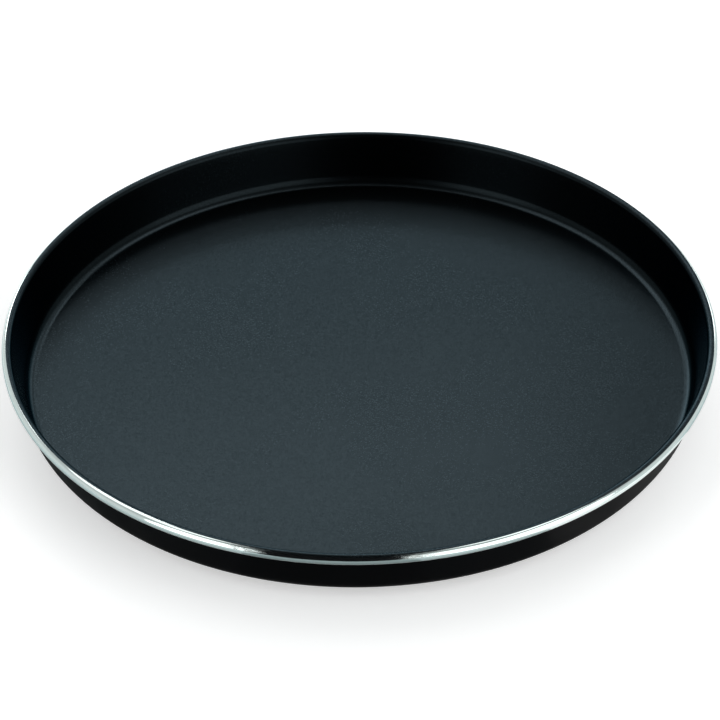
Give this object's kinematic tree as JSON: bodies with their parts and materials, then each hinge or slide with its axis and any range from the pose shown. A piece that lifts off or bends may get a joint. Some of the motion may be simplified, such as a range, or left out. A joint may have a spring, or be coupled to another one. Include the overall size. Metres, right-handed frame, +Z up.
{
  "type": "microwave crisp plate",
  "caption": "Shallow round browning plate for a microwave oven, with a dark non-stick dish, a bare rolled aluminium rim, a black outside and an absorber layer on feet underneath.",
  "frame": {"origin": "centre of the plate, on the plane that its feet stand on", "axes": "+Z up along the plate's axis, +X through the middle of foot_1"},
  "size_m": [0.305, 0.305, 0.0291],
  "materials": {
    "bare_aluminium": "polished",
    "nonstick_coat": "satin",
    "black_lacquer": "satin",
    "red_silicone": "matte",
    "ferrite_silicone": "matte",
    "black_silicone": "matte"
  },
  "bodies": {
    "root": {"pan_shell": "bare_aluminium", "nonstick_lining": "nonstick_coat", "outer_lacquer": "black_lacquer", "bond_film": "red_silicone", "absorber_disc": "ferrite_silicone", "foot_1": "black_silicone", "foot_2": "black_silicone", "foot_3": "black_silicone", "foot_4": "black_silicone", "foot_5": "black_silicone", "foot_6": "black_silicone"}
  },
  "joints": []
}
